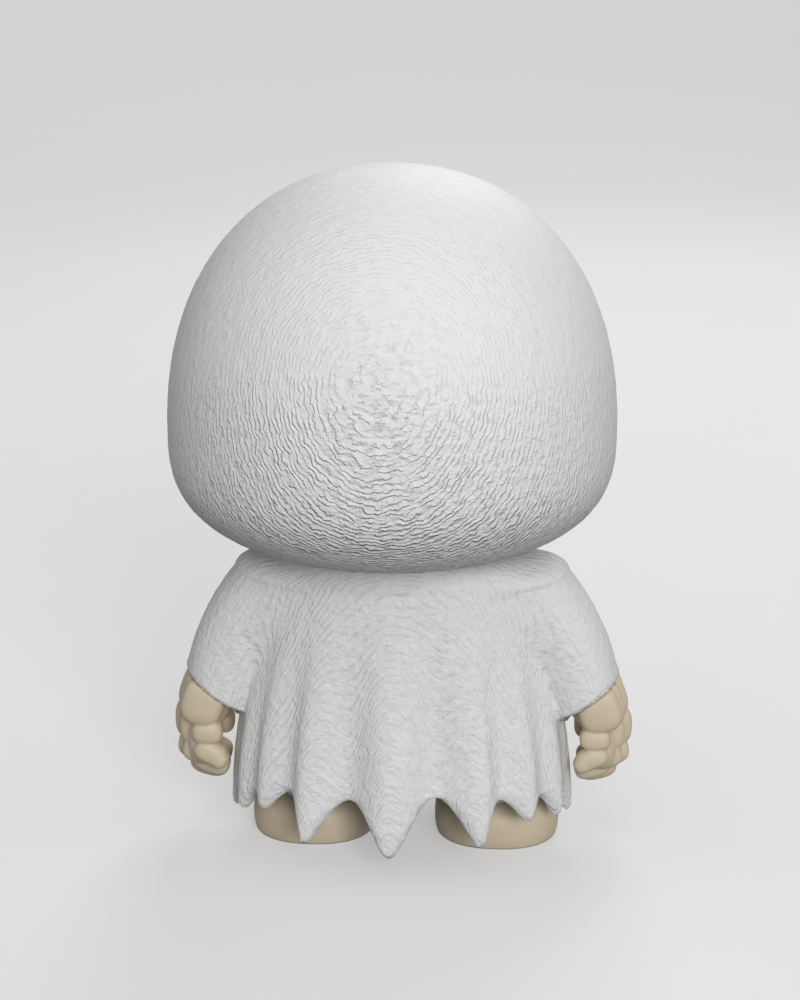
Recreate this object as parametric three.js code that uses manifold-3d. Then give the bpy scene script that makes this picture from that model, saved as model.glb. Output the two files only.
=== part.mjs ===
// Ghost figurine: a big domed head on a robe with sleeves, a ragged hem, cream fists and cream feet.
// Millimetres, +Z up. The face looks along -Y, so the figure's left hand is on the +X side.
// The origin is on the floor, midway between the feet and straight below the neck.
// The head turns on a spool in the neck, and each fist turns on a peg in its sleeve.
import * as THREE from "three";
import { mergeVertices } from "three/addons/utils/BufferGeometryUtils.js";
import Module from "manifold-3d";

const wasm = await Module();
wasm.setup();

// Clearances
const fit = 0.3; // between two pieces that touch or turn on each other
const overlap = 1; // how far a cutter runs past the face that it cuts

// Head: a dome with a soft jaw, hollow, with a hole for the neck spool
const headHalfWidth = 57.4;
const headHalfDepth = 54.5;
const headHeight = 98;
const headWidestHeight = 31; // this and the face's heights are measured from the head's bottom
const headSideShift = 2.5; // the dome sits a little towards the left hand
const crownPower = 2.2;
const jawPower = 2.83;
const headWall = 3;
const headColumns = 48;
const crownRows = 10;
const jawRows = 8;
const poleTurn = 3.5; // degrees between the pole and the first ring

// Face: two oval eyes and a small oval mouth, each set in a pocket
const eyeHalfWidth = 6.5;
const eyeHalfHeight = 9.5;
const eyeSpacing = 36;
const eyeHeight = 37;
const mouthHalfWidth = 4;
const mouthHalfHeight = 5;
const mouthHeight = 17;
const facePocketDepth = 1.6;
const facePieceProud = 0.5;

// Neck spool: a shaft with a flange inside the head and one inside the robe
const neckShaftRadius = 9;
const neckFlangeRadius = 12.5;
const neckFlangeThickness = 2.5;

// Robe
const neckSeatRadius = 16;
const neckRise = 7.7; // the neck seat above the shoulder, where the robe rounds over
const robeWall = 3;
const robeHeight = 49.3; // from the underside panel's top to the shoulder
const robeShoulderHalfWidth = 34;
const robeShoulderHalfDepth = 20.5;
const hemHalfWidth = 45.2;
const hemHalfDepth = 30.5;
const hemDrop = 17.7; // from the underside panel's top down to the robe's widest level
const robePower = 2.2; // plan section, between an ellipse and a box
const hemThickness = 4.4;
const hemRounding = 3; // height over which the hem thins to its edge
const foldDrop = 12; // from the shoulder down to where the folds fade out
const foldDepthShare = 0.12; // fold depth, as a share of the distance between two hem points
const shoulderRows = 3;
const skirtRows = 6;
const hollowRows = 5;
const hemSteps = [1, 0.4, 0.1]; // rows over the hem's rounding, as shares of its height
const wideSpan = 25; // hem points farther apart than this have more columns between them
const wideSpanColumns = 6;
const narrowSpanColumns = 4;

// Hem points, round the robe from the left side over the back to the front: [direction in degrees,
// drop of the tip, drop of the arch that follows it], both from the underside panel's top
const hemPoints = [
  [4, 18.2, 8.2],
  [22, 14.7, 8.2],
  [40, 11.2, 4.7],
  [60.5, 17.2, 5.1],
  [88.5, 18.9, 3.7],
  [117, 17.2, 5.5],
  [138.5, 12.7, 6.9],
  [159, 14.7, 8.2],
  [177, 17.4, 7.7],
  [198, 13.2, 5.7],
  [218, 9.7, 4.2],
  [238, 9.2, 4.2],
  [270, 16.7, 4.2],
  [302, 9.2, 4.2],
  [322, 9.7, 5.7],
  [343, 13.2, 7.7],
];
const tipRounding = 0.1; // roundness of a point, as a share of its half span
const archPower = 1.6; // how square the arches between the points are

// Sleeves: the middle line bends out from the shoulder to the cuff, and the sections lean with it
const sleeveInset = 2.5; // its start, in from the robe's side
const sleeveDrop = 1; // and down from the robe's shoulder
const cuffStandOut = 2.6; // its end, out from the hem's side
const cuffDrop = 31.4; // and down from its start
const bendOutShare = 0.656; // its bend, as shares of the way out and down
const bendDownShare = 0.487;
const shoulderLean = 8; // degrees between the section and level ground
const cuffLean = 37;
const shoulderRadius = 12.5;
const shoulderRise = 6; // height of the shoulder's domed top
const cuffRadius = 11.2;
const sleeveHalfDepth = 12.5;
const sleeveLip = 3; // rounding of the cuff's edge
const sleeveWall = 3;
const shoulderCapTurns = [80, 40]; // degrees of the rings over the domed top
const sleeveLipTurns = [30, 60, 90]; // and round the lip
const sleeveRows = 6;
const sleeveColumns = 22;

// Wrists: the fist's round neck sits in a recess in the cuff, and a flanged peg holds it
const wristRadius = 6.4;
const wristRecess = 1.6;
const wristPegRadius = 2.4;
const wristFlangeRadius = 3.8;
const wristFlangeThickness = 2;
const wristPegInHand = 7;

// Fists, placed from the middle of the cuff: [out, back, down]
const palmPlace = [5, -0.4, 5.6];
const palmHalfSizes = [7, 9.6, 8.8];
const gripPlace = [5.6, -0.4, 15.5]; // the closed hand behind the fingers
const gripHalfSizes = [4.6, 9.2, 6.6];
const fingerPitch = 5.1; // between neighbouring fingers
const fingerOverlap = 0.5; // how far a finger runs past the middle between it and its neighbour
const littleFingerBack = 7.2;
// [how far out, how far down] for the little, ring, middle and index fingers
const fingerShifts = [
  [0, 0],
  [3.6, 0.3],
  [6.4, 0.4],
  [5.8, -0.3],
];
// The three parts of a finger: [out, down, half size outward, half size down]
const fingerParts = [
  [2.8, 12.2, 4.8, 4],
  [2.9, 17.8, 4.6, 3.6],
  [2.2, 21.1, 4.2, 3.6],
];
const padPower = 2.5; // roundness of the fist's parts: 2 is an ellipsoid, and more is boxier
const padColumns = 10;
const padRows = 6;
// The thumb's parts: [out, back, down, half size outward, half size back, half size down]
const thumbParts = [
  [2.7, -7.5, 7.6, 4.6, 4.2, 5.6],
  [1.3, -9, 14, 3.2, 3.2, 4.1],
];

// Underside panel, with a soft lobe round the top of each foot
const panelThickness = 3;
const panelRise = 12.7; // from the feet's tops to the panel's top
const panelLedge = 2;
const lobeInset = 4.8; // middle of the lobe, in from the middle of the foot
const lobeHalfWidth = 16.2;
const lobeCentreBack = -2;
const lobeHalfDepth = 16.5;
const lobeRounding = 4;
const lobeTurns = [90, 60, 30, 0]; // degrees of the rings round its lower edge
const lobeColumns = 28;

// Feet
const footTop = 12;
const feetGap = 15.8; // between the two feet
const footUnderHem = 0.5; // how far the foot's side reaches out under the hem
const feetSideShift = -0.9; // the feet stand a little towards the right hand
const footWidestBack = -4;
const footHeelBack = 12;
const footToeForward = 34;
const footWaistHeight = 3.5; // height of the widest line
const footSoleShare = 0.97; // width of the sole as a share of the widest line
const footPlanPower = 2.3;
const footTopPower = 3.4;
const footTopTurn = 84; // degrees of rounding before the flat top
const footSoleSteps = [1, 0.4]; // rings below the widest line, as shares of its height
const footColumns = 36;
const footRows = 5;

// Leg pegs: square, so that the feet stay straight
const legPegInset = 2.1; // in from the middle of the foot
const legPegBack = -3;
const legPegWidth = 8;
const legPegInFoot = 7;
const legFlangeWidth = 12;
const legFlangeThickness = 2.2;

const { degToRad, lerp, clamp, smoothstep } = THREE.MathUtils;

// Heights, from the floor up
const panelTop = footTop + panelRise;
const hemLevel = panelTop - hemDrop;
const shoulderHeight = panelTop + robeHeight;
const foldTop = shoulderHeight - foldDrop;
const neckSeat = shoulderHeight + neckRise;
const headBottom = neckSeat + fit;

// Places to the side
const footOuterEdge = hemHalfWidth - hemThickness + footUnderHem;
const footHalfWidth = (footOuterEdge - feetGap / 2) / 2;
const footCentreOut = footOuterEdge - footHalfWidth;
const lobeCentreOut = footCentreOut - lobeInset;
const legPegOut = footCentreOut - legPegInset;

// Middle line of the sleeve: its start, its bend and its end, as [out, up]
const sleeveStart = [robeShoulderHalfWidth - sleeveInset, shoulderHeight - sleeveDrop];
const cuffMiddle = [hemHalfWidth + cuffStandOut, sleeveStart[1] - cuffDrop];
const sleeveBend = [
  lerp(sleeveStart[0], cuffMiddle[0], bendOutShare),
  lerp(sleeveStart[1], cuffMiddle[1], bendDownShare),
];

// Geometry helpers

// Signed power, which keeps the sign of its base.
const power = (value, exponent) => Math.sign(value) * Math.abs(value) ** exponent;

// A closed three.js geometry as a manifold solid.
function solidOf(geometry) {
  const bare = geometry.clone();
  bare.deleteAttribute("normal");
  bare.deleteAttribute("uv");
  const merged = mergeVertices(bare, 1e-4);
  return new wasm.Manifold(
    new wasm.Mesh({
      numProp: 3,
      vertProperties: new Float32Array(merged.attributes.position.array),
      triVerts: new Uint32Array(merged.index.array),
    }),
  );
}

function geometryOf(solid) {
  const mesh = solid.getMesh();
  const geometry = new THREE.BufferGeometry();
  geometry.setAttribute("position", new THREE.BufferAttribute(mesh.vertProperties, 3));
  geometry.setIndex(new THREE.BufferAttribute(mesh.triVerts, 1));
  geometry.computeVertexNormals();
  return geometry;
}

// Joins rings of equal size into one closed solid, with a fan over the first and the last ring.
function loft(rings) {
  const columns = rings[0].length;
  const points = rings.flat();
  const middle = (ring) =>
    ring.reduce((sum, point) => sum.add(point), new THREE.Vector3()).divideScalar(columns);
  const first = points.push(middle(rings[0])) - 1;
  const last = points.push(middle(rings.at(-1))) - 1;
  const lastRow = (rings.length - 1) * columns;
  const faces = [];
  for (let column = 0; column < columns; column++) {
    const next = (column + 1) % columns;
    faces.push(first, next, column, last, lastRow + column, lastRow + next);
    for (let here = 0; here < lastRow; here += columns) {
      const below = here + columns;
      faces.push(here + column, here + next, below + next);
      faces.push(here + column, below + next, below + column);
    }
  }
  return solidOf(facingOut(points, faces));
}

// Indexed triangles as a geometry, turned round if they enclose a negative volume.
function facingOut(points, faces) {
  let volume = 0;
  const cross = new THREE.Vector3();
  for (let i = 0; i < faces.length; i += 3)
    volume += cross.crossVectors(points[faces[i + 1]], points[faces[i + 2]]).dot(points[faces[i]]);
  const geometry = new THREE.BufferGeometry().setFromPoints(points);
  geometry.setIndex(volume < 0 ? faces.reverse() : faces);
  return geometry;
}

const joined = (solids) => solids.reduce((all, solid) => all.add(solid));

const cut = (solid, cutters) => cutters.reduce((left, cutter) => left.subtract(cutter), solid);

// A round bar along Z between two heights.
function upright(radius, low, high, sides = 32) {
  const bar = new THREE.CylinderGeometry(radius, radius, high - low, sides);
  bar.rotateX(Math.PI / 2);
  bar.translate(0, 0, (low + high) / 2);
  return solidOf(bar);
}

// An upright square bar centred on the leg peg of one side.
function legBar(side, width, low, high) {
  const bar = new THREE.BoxGeometry(width, width, high - low);
  bar.translate(side * legPegOut, legPegBack, (low + high) / 2);
  return solidOf(bar);
}

// A ball stretched to its half sizes, and a little boxier than round.
function pad([out, back, up], [halfOut, halfBack, halfUp]) {
  const ball = new THREE.SphereGeometry(1, padColumns, padRows);
  ball.rotateX(Math.PI / 2);
  const { position } = ball.attributes;
  const point = new THREE.Vector3();
  for (let i = 0; i < position.count; i++) {
    point.fromBufferAttribute(position, i);
    const reach = point.toArray().reduce((sum, side) => sum + Math.abs(side) ** padPower, 0);
    point.multiplyScalar(reach ** (-1 / padPower));
    position.setXYZ(i, ...point);
  }
  ball.scale(halfOut, halfBack, halfUp);
  ball.translate(out, back, up);
  return solidOf(ball);
}

// The same solid on the other side of the figure.
const mirrored = (solid, side) => (side > 0 ? solid : solid.mirror([1, 0, 0]));

// Head

// The head's outer form, grown by an offset: a superellipse above and another below its widest line.
function headForm(offset, columns = headColumns, upperRows = crownRows, lowerRows = jawRows) {
  const widest = headBottom + headWidestHeight;
  const ring = (share, height) =>
    Array.from({ length: columns }, (_, column) => {
      const turn = (column / columns) * 2 * Math.PI;
      return new THREE.Vector3(
        headSideShift + (headHalfWidth + offset) * share * Math.cos(turn),
        (headHalfDepth + offset) * share * Math.sin(turn),
        height,
      );
    });
  const half = (rows, exponent, reach) =>
    Array.from({ length: rows }, (_, row) => {
      const angle = degToRad(lerp(90 - poleTurn, 0, row / rows));
      const height = widest + reach * Math.sin(angle) ** (2 / exponent);
      return ring(Math.cos(angle) ** (2 / exponent), height);
    });
  const crown = half(upperRows, crownPower, headHeight - headWidestHeight + offset);
  const jaw = half(lowerRows, jawPower, -headWidestHeight - offset);
  return loft([...crown, ring(1, widest), ...jaw.reverse()]);
}

const eye = (side) => ({
  halfWidth: eyeHalfWidth,
  halfHeight: eyeHalfHeight,
  out: (side * eyeSpacing) / 2,
  height: eyeHeight,
});

const facePieces = {
  eye_left: eye(1),
  eye_right: eye(-1),
  mouth: { halfWidth: mouthHalfWidth, halfHeight: mouthHalfHeight, out: 0, height: mouthHeight },
};

// An oval bar that runs forward from inside the head, grown by an offset.
function ovalBar({ halfWidth, halfHeight, out, height }, offset = 0) {
  const oval = new THREE.Shape().absellipse(0, 0, halfWidth + offset, halfHeight + offset, 0, 2 * Math.PI);
  const length = headHalfDepth + overlap;
  const bar = new THREE.ExtrudeGeometry(oval, { depth: length, bevelEnabled: false, curveSegments: 12 });
  bar.rotateX(Math.PI / 2);
  bar.translate(headSideShift + out, 0, headBottom + height);
  return solidOf(bar);
}

const facePiece = (piece) =>
  ovalBar(piece).intersect(headForm(facePieceProud)).subtract(headForm(fit - facePocketDepth));

function headShell() {
  const cavity = headForm(-headWall, headColumns / 2, crownRows / 2, jawRows / 2);
  const floor = headBottom + headWall;
  const hole = upright(neckShaftRadius + fit, headBottom - overlap, floor + overlap);
  const seat = upright(neckFlangeRadius + overlap, floor, floor + neckFlangeThickness);
  const pocketFloor = headForm(-facePocketDepth);
  const pockets = Object.values(facePieces).map((piece) => ovalBar(piece, fit).subtract(pocketFloor));
  return cut(headForm(0), [cavity, hole, seat, ...pockets]);
}

// Neck

const robeRoof = neckSeat - robeWall; // inside the robe, under the neck seat

function neckSpool() {
  const robeFlangeTop = robeRoof - fit;
  const headFlangeBottom = headBottom + headWall + fit;
  const foot = robeFlangeTop - neckFlangeThickness;
  const crown = headFlangeBottom + neckFlangeThickness;
  return joined([
    upright(neckShaftRadius, foot, crown),
    upright(neckFlangeRadius, foot, robeFlangeTop),
    upright(neckFlangeRadius, headFlangeBottom, crown),
  ]);
}

// Robe

// Half width and half depth of the robe's plan at a height: it flares from the shoulder to the hem, and
// rounds over from the shoulder to the neck seat.
function robeHalfSizes(height) {
  const drop = clamp((shoulderHeight - height) / (shoulderHeight - hemLevel), 0, 1);
  const width = lerp(robeShoulderHalfWidth, hemHalfWidth, Math.sin((drop * Math.PI) / 2));
  const depth = lerp(robeShoulderHalfDepth, hemHalfDepth, drop);
  const rise = clamp((height - shoulderHeight) / neckRise, 0, 1);
  const rounding = Math.sqrt(1 - rise * rise);
  return [lerp(neckSeatRadius, width, rounding), lerp(neckSeatRadius, depth, rounding)];
}

// The columns of the robe: equal steps between each hem point and the next.
const fullTurn = 360;
const robeColumns = hemPoints.flatMap(([direction, tipDrop, archDrop], index) => {
  const [nextDirection, nextTipDrop] = hemPoints[(index + 1) % hemPoints.length];
  const span = (nextDirection - direction + fullTurn) % fullTurn;
  const columns = span > wideSpan ? wideSpanColumns : narrowSpanColumns;
  return Array.from({ length: columns }, (_, step) => {
    const share = step / columns;
    const side = Math.abs(2 * share - 1);
    const sharp = 1 + tipRounding - Math.hypot(1 - side, tipRounding);
    const nearTipDrop = share < 0.5 ? tipDrop : nextTipDrop;
    return {
      turn: degToRad(direction + span * share),
      hem: panelTop - lerp(archDrop, nearTipDrop, sharp ** archPower),
      fold: Math.cos(2 * Math.PI * share) * degToRad(span) * foldDepthShare * hemHalfDepth,
    };
  });
});

// A point of the robe at a column, a height and a distance in from its outer face.
function robePoint({ turn, fold }, height, inset) {
  const [halfWidth, halfDepth] = robeHalfSizes(height);
  const plan = new THREE.Vector2(
    halfWidth * power(Math.cos(turn), 2 / robePower),
    halfDepth * power(Math.sin(turn), 2 / robePower),
  );
  const folded = fold * (1 - smoothstep(height, hemLevel, foldTop));
  plan.setLength(plan.length() + folded - inset);
  return new THREE.Vector3(plan.x, plan.y, height);
}

const shares = (count) => Array.from({ length: count }, (_, step) => step / (count - 1));

// The robe without sleeves or hollow: down the outside, round the hem and up the inside to the panel.
function robeForm() {
  const ring = (place) => robeColumns.map((column) => robePoint(column, ...place(column)));
  const shoulder = shares(shoulderRows).map((share) => {
    const rise = Math.cos((share * Math.PI) / 2);
    return ring(() => [lerp(shoulderHeight, neckSeat, rise), 0]);
  });
  const skirt = shares(skirtRows).slice(1).map((share) =>
    ring(({ hem }) => [lerp(shoulderHeight, hem + hemRounding, share), 0]),
  );
  const drawIn = (step) => (hemThickness / 2) * (1 - Math.sqrt(step * (2 - step)));
  const lip = hemSteps.slice(1).map((step) => ring(({ hem }) => [hem + step * hemRounding, drawIn(step)]));
  const edge = ring(({ hem }) => [hem, hemThickness / 2]);
  const inside = hemSteps
    .toReversed()
    .map((step) => ring(({ hem }) => [hem + step * hemRounding, hemThickness - drawIn(step)]));
  return loft([...shoulder, ...skirt, ...lip, edge, ...inside, ring(() => [panelTop, hemThickness])]);
}

// The middle of the sleeve, and its section's lean, at a share of the way from the shoulder to the cuff.
function sleeveStation(share) {
  const along = (axis) =>
    (1 - share) ** 2 * sleeveStart[axis] +
    2 * share * (1 - share) * sleeveBend[axis] +
    share ** 2 * cuffMiddle[axis];
  return {
    out: along(0),
    up: along(1),
    lean: degToRad(lerp(shoulderLean, cuffLean, share)),
    radius: lerp(shoulderRadius, cuffRadius, share),
  };
}

// One section of the sleeve, drawn in by an inset and moved on past its station by a distance.
function sleeveRing(share, inset, past = 0) {
  const { out, up, lean, radius } = sleeveStation(share);
  return Array.from({ length: sleeveColumns }, (_, column) => {
    const turn = (column / sleeveColumns) * 2 * Math.PI;
    const across = (radius - inset) * Math.cos(turn);
    return new THREE.Vector3(
      out + across * Math.cos(lean) + past * Math.sin(lean),
      (sleeveHalfDepth - inset) * Math.sin(turn),
      up + across * Math.sin(lean) - past * Math.cos(lean),
    );
  });
}

// The sleeve's outer form, with a domed shoulder, a rounded lip and a flat end at the cuff's mouth.
function sleeveForm() {
  const cap = shoulderCapTurns.map((angle) => {
    const turn = degToRad(angle);
    return sleeveRing(0, shoulderRadius * (1 - Math.cos(turn)), -shoulderRise * Math.sin(turn));
  });
  const body = shares(sleeveRows).map((share) => sleeveRing(share, 0));
  const lip = sleeveLipTurns.map((angle) => {
    const turn = degToRad(angle);
    return sleeveRing(1, sleeveLip * (1 - Math.cos(turn)), sleeveLip * Math.sin(turn));
  });
  return loft([...cap, ...body, ...lip]);
}

// The hollow of the sleeve, which stops a wall's thickness short of the wrist's recess.
function sleeveCavity() {
  const floor = sleeveLip - wristRecess - sleeveWall;
  const body = shares(sleeveRows).slice(0, -1).map((share) => sleeveRing(share, sleeveWall));
  return loft([...body, sleeveRing(1, sleeveWall, floor)]);
}

// A round bar on the wrist's axis, between two distances past the cuff's mouth.
function wristBar(radius, from, to, sides = 24) {
  const { out, up, lean } = sleeveStation(1);
  const bar = new THREE.CylinderGeometry(radius, radius, to - from, sides);
  bar.rotateX(Math.PI / 2);
  bar.translate(0, 0, -sleeveLip - (from + to) / 2);
  bar.rotateY(-lean);
  bar.translate(out, 0, up);
  return solidOf(bar);
}

// The robe's hollow: smooth inside, with a ledge over the panel and a flat roof under the neck seat.
function robeCavity() {
  const deepestFold = Math.min(...robeColumns.map(({ fold }) => fold));
  const everyOther = robeColumns.filter((_, index) => index % 2 === 0);
  const ledgeInset = hemThickness + panelLedge;
  const ring = (height, inset, fade = 1) =>
    everyOther.map(({ turn, fold }) => robePoint({ turn, fold: fold * fade }, height, inset));
  const upper = shares(hollowRows).slice(1).map((share) =>
    ring(lerp(panelTop, shoulderHeight - robeWall, share), robeWall - deepestFold * (1 - share), 0),
  );
  return loft([
    ring(panelTop - overlap, ledgeInset),
    ring(panelTop + overlap, ledgeInset),
    ...upper,
    ring(robeRoof, 2 * robeWall, 0),
  ]);
}

function robeShell() {
  const sleeves = [1, -1].map((side) => mirrored(sleeveForm(), side));
  const hollows = [1, -1].flatMap((side) => [
    mirrored(sleeveCavity(), side),
    mirrored(wristBar(wristRadius + fit, -wristRecess, wristPegInHand), side),
    mirrored(wristBar(wristPegRadius + fit, -wristRecess - sleeveWall - overlap, 0), side),
  ]);
  const neckHole = upright(neckShaftRadius + fit, robeRoof - overlap, neckSeat + overlap);
  const neckSpace = upright(neckFlangeRadius + overlap, robeRoof - neckFlangeThickness - overlap, robeRoof);
  return cut(joined([robeForm(), ...sleeves]), [robeCavity(), ...hollows, neckHole, neckSpace]);
}

// Underside

// A rounded lobe from the panel down to the foot.
function lobe(side) {
  const bottom = footTop + fit;
  const ring = (height, inset) =>
    Array.from({ length: lobeColumns }, (_, column) => {
      const turn = (column / lobeColumns) * 2 * Math.PI;
      return new THREE.Vector3(
        side * lobeCentreOut + (lobeHalfWidth - inset) * Math.cos(turn),
        lobeCentreBack + (lobeHalfDepth - inset) * Math.sin(turn),
        height,
      );
    });
  const rounding = lobeTurns.map((angle) => {
    const turn = degToRad(angle);
    return ring(bottom + lobeRounding * (1 - Math.sin(turn)), lobeRounding * (1 - Math.cos(turn)));
  });
  return loft([...rounding, ring(panelTop - fit - panelThickness / 2, 0)]);
}

function undersidePanel() {
  const edge = (height) => robeColumns.map((column) => robePoint(column, height, hemThickness + fit));
  const top = panelTop - fit;
  const plate = loft([edge(top), edge(top - panelThickness)]);
  const insideHem = loft([edge(top), edge(footTop)]);
  const lobes = [1, -1].map((side) => lobe(side).intersect(insideHem));
  const pegHoles = [1, -1].map((side) => legBar(side, legPegWidth + 2 * fit, footTop, top + overlap));
  return cut(joined([plate, ...lobes]), pegHoles);
}

// Feet

// A foot at one share of its widest line and one height.
function footRing(side, share, height) {
  const heelLength = footHeelBack - footWidestBack;
  const toeLength = footToeForward + footWidestBack;
  return Array.from({ length: footColumns }, (_, column) => {
    const turn = (column / footColumns) * 2 * Math.PI;
    const across = footHalfWidth * share * power(Math.cos(turn), 2 / footPlanPower);
    const length = turn < Math.PI ? heelLength : toeLength;
    const along = length * share * power(Math.sin(turn), 2 / footPlanPower);
    return new THREE.Vector3(side * footCentreOut + feetSideShift + across, footWidestBack + along, height);
  });
}

// A foot: a flat sole, a widest line low down and a rounded, flat-topped body.
function foot(side) {
  const rise = footTop - footWaistHeight;
  const upper = shares(footRows).map((share) => {
    const turn = degToRad(share * footTopTurn);
    const up = footWaistHeight + rise * Math.sin(turn) ** (2 / footTopPower);
    return footRing(side, Math.cos(turn) ** (2 / footTopPower), up);
  });
  const sole = footSoleSteps.map((step) =>
    footRing(side, lerp(1, footSoleShare, step ** 2), footWaistHeight * (1 - step)),
  );
  const body = loft([...sole, ...upper]);
  const pegFloor = footTop - legPegInFoot - fit;
  return body.subtract(legBar(side, legPegWidth + 2 * fit, pegFloor, footTop + overlap));
}

const legPeg = (side) =>
  legBar(side, legPegWidth, footTop - legPegInFoot, panelTop + overlap).add(
    legBar(side, legFlangeWidth, panelTop, panelTop + legFlangeThickness),
  );

// Fists

// A place given from the middle of the cuff's mouth.
const fromCuff = (out, back, down) => [cuffMiddle[0] + out, back, cuffMiddle[1] - down];

function fist() {
  const part = (place, halfSizes) => pad(fromCuff(...place), halfSizes);
  const fingers = fingerShifts.flatMap(([shiftOut, shiftDown], finger) =>
    fingerParts.map(([out, down, halfOut, halfDown]) =>
      part(
        [out + shiftOut, littleFingerBack - finger * fingerPitch, down + shiftDown],
        [halfOut, fingerPitch / 2 + fingerOverlap, halfDown],
      ),
    ),
  );
  const thumb = thumbParts.map(([out, back, down, ...halfSizes]) => part([out, back, down], halfSizes));
  const palm = [part(palmPlace, palmHalfSizes), part(gripPlace, gripHalfSizes)];
  const hand = joined([...palm, ...fingers, ...thumb]);
  const neck = wristBar(wristRadius, -wristRecess + fit, wristPegInHand);
  const cuffSpace = wristBar(2 * cuffRadius, -2 * cuffRadius, fit);
  const socket = wristBar(wristPegRadius + fit, -wristRecess - overlap, wristPegInHand + fit);
  return hand.subtract(cuffSpace).add(neck).subtract(socket);
}

function wristPeg() {
  const floor = -wristRecess - sleeveWall;
  const flangeFoot = floor - fit;
  return wristBar(wristPegRadius, flangeFoot - wristFlangeThickness, wristPegInHand).add(
    wristBar(wristFlangeRadius, flangeFoot - wristFlangeThickness, flangeFoot),
  );
}

// Finishes

const whiteMatte = new THREE.MeshStandardMaterial({ color: 0xdcdcde, roughness: 0.6, metalness: 0 });
const creamMatte = new THREE.MeshStandardMaterial({ color: 0xcfc2a6, roughness: 0.55, metalness: 0 });
const blackGloss = new THREE.MeshStandardMaterial({ color: 0x0c0c0e, roughness: 0.12, metalness: 0 });
const clearGrey = new THREE.MeshStandardMaterial({ color: 0xbfc0c2, roughness: 0.4, metalness: 0 });

const figurine = new THREE.Group();

function add(name, solid, material) {
  const mesh = new THREE.Mesh(geometryOf(solid), material);
  mesh.name = name;
  figurine.add(mesh);
}

add("head_shell", headShell(), whiteMatte);
for (const [name, piece] of Object.entries(facePieces)) add(name, facePiece(piece), blackGloss);
add("neck_spool", neckSpool(), clearGrey);
add("robe_shell", robeShell(), whiteMatte);
add("underside_panel", undersidePanel(), whiteMatte);
for (const [name, side] of [
  ["left", 1],
  ["right", -1],
]) {
  add(`fist_${name}`, mirrored(fist(), side), creamMatte);
  add(`wrist_peg_${name}`, mirrored(wristPeg(), side), clearGrey);
  add(`foot_${name}`, foot(side), creamMatte);
  add(`leg_peg_${name}`, legPeg(side), clearGrey);
}

export default figurine;
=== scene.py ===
import bmesh
import bpy
import numpy as np
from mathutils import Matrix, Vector


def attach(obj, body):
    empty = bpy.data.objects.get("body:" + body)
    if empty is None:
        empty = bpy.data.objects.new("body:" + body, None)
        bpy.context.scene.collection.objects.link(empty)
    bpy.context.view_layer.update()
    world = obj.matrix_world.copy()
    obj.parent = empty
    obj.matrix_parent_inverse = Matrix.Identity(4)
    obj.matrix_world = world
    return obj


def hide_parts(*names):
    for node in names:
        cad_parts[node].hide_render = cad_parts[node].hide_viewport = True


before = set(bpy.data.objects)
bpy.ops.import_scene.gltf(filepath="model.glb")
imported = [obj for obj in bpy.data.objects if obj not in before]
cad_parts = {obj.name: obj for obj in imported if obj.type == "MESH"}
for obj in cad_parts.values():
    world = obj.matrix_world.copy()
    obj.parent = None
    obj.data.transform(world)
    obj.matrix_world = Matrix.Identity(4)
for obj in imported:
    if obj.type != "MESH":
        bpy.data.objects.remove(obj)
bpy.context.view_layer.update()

# %% [markdown]
# ## Units, grids and meshes
# Sizes below are in millimetres, as on the toolmaker's drawing, and become metres when they enter
# a mesh. Most pieces are grids: rows of points, worked out as whole arrays. `foreach_set` would do
# for the points too, but `from_pydata` takes points and faces in one call.
# %% Mesh helpers
MM = 0.001


def new_piece(name, points, faces):
    """A smooth-shaded mesh object from points in millimetres and lists of corner numbers."""
    mesh = bpy.data.meshes.new(name)
    mesh.from_pydata(np.asarray(points) * MM, [], faces)
    mesh.update()
    mesh.shade_smooth()
    piece = bpy.data.objects.new(name, mesh)
    bpy.context.scene.collection.objects.link(piece)
    return piece


def ring_faces(rows, columns):
    """Quads between each ring of points and the next, closed round the columns."""
    here = np.arange((rows - 1) * columns).reshape(rows - 1, columns)
    beside = np.roll(here, -1, axis=1)
    return np.stack([here, beside, beside + columns, here + columns], axis=2).reshape(-1, 4)


def lofted(name, rings, facing=1):
    """A closed surface over rings of points, [row, column, xyz], with a fan at each end."""
    rows, columns, _ = rings.shape
    points = np.concatenate([rings.reshape(-1, 3), rings[[0, -1]].mean(axis=1)])
    first, last = rows * columns, rows * columns + 1
    near = np.arange(columns)
    far = near + (rows - 1) * columns
    fans = [
        np.stack([np.full(columns, first), np.roll(near, -1), near], axis=1),
        np.stack([np.full(columns, last), far, np.roll(far, -1)], axis=1),
    ]
    faces = [*ring_faces(rows, columns).tolist(), *fans[0].tolist(), *fans[1].tolist()]
    faces = faces if facing > 0 else [face[::-1] for face in faces]
    return new_piece(name, points, faces)


def points_of(piece):
    """The piece's points in millimetres, as an array of xyz."""
    flat = np.empty(len(piece.data.vertices) * 3)
    piece.data.vertices.foreach_get("co", flat)
    return flat.reshape(-1, 3) / MM


def put_points(piece, points):
    piece.data.vertices.foreach_set("co", (points * MM).ravel())
    piece.data.update()


def normals_of(piece):
    flat = np.empty(len(piece.data.vertices) * 3)
    piece.data.vertex_normals.foreach_get("vector", flat)
    return flat.reshape(-1, 3)


def put_attribute(piece, name, values):
    """One number on each point, for the shader to read."""
    layer = piece.data.attributes.new(name, "FLOAT", "POINT")
    layer.data.foreach_set("value", np.asarray(values, dtype=np.float32))


def settle(piece):
    """The piece with its modifiers made part of its mesh."""
    bpy.context.view_layer.update()
    seen = piece.evaluated_get(bpy.context.evaluated_depsgraph_get())
    mesh = bpy.data.meshes.new_from_object(seen)
    piece.modifiers.clear()
    piece.data = mesh
    mesh.shade_smooth()
    return piece


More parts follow.
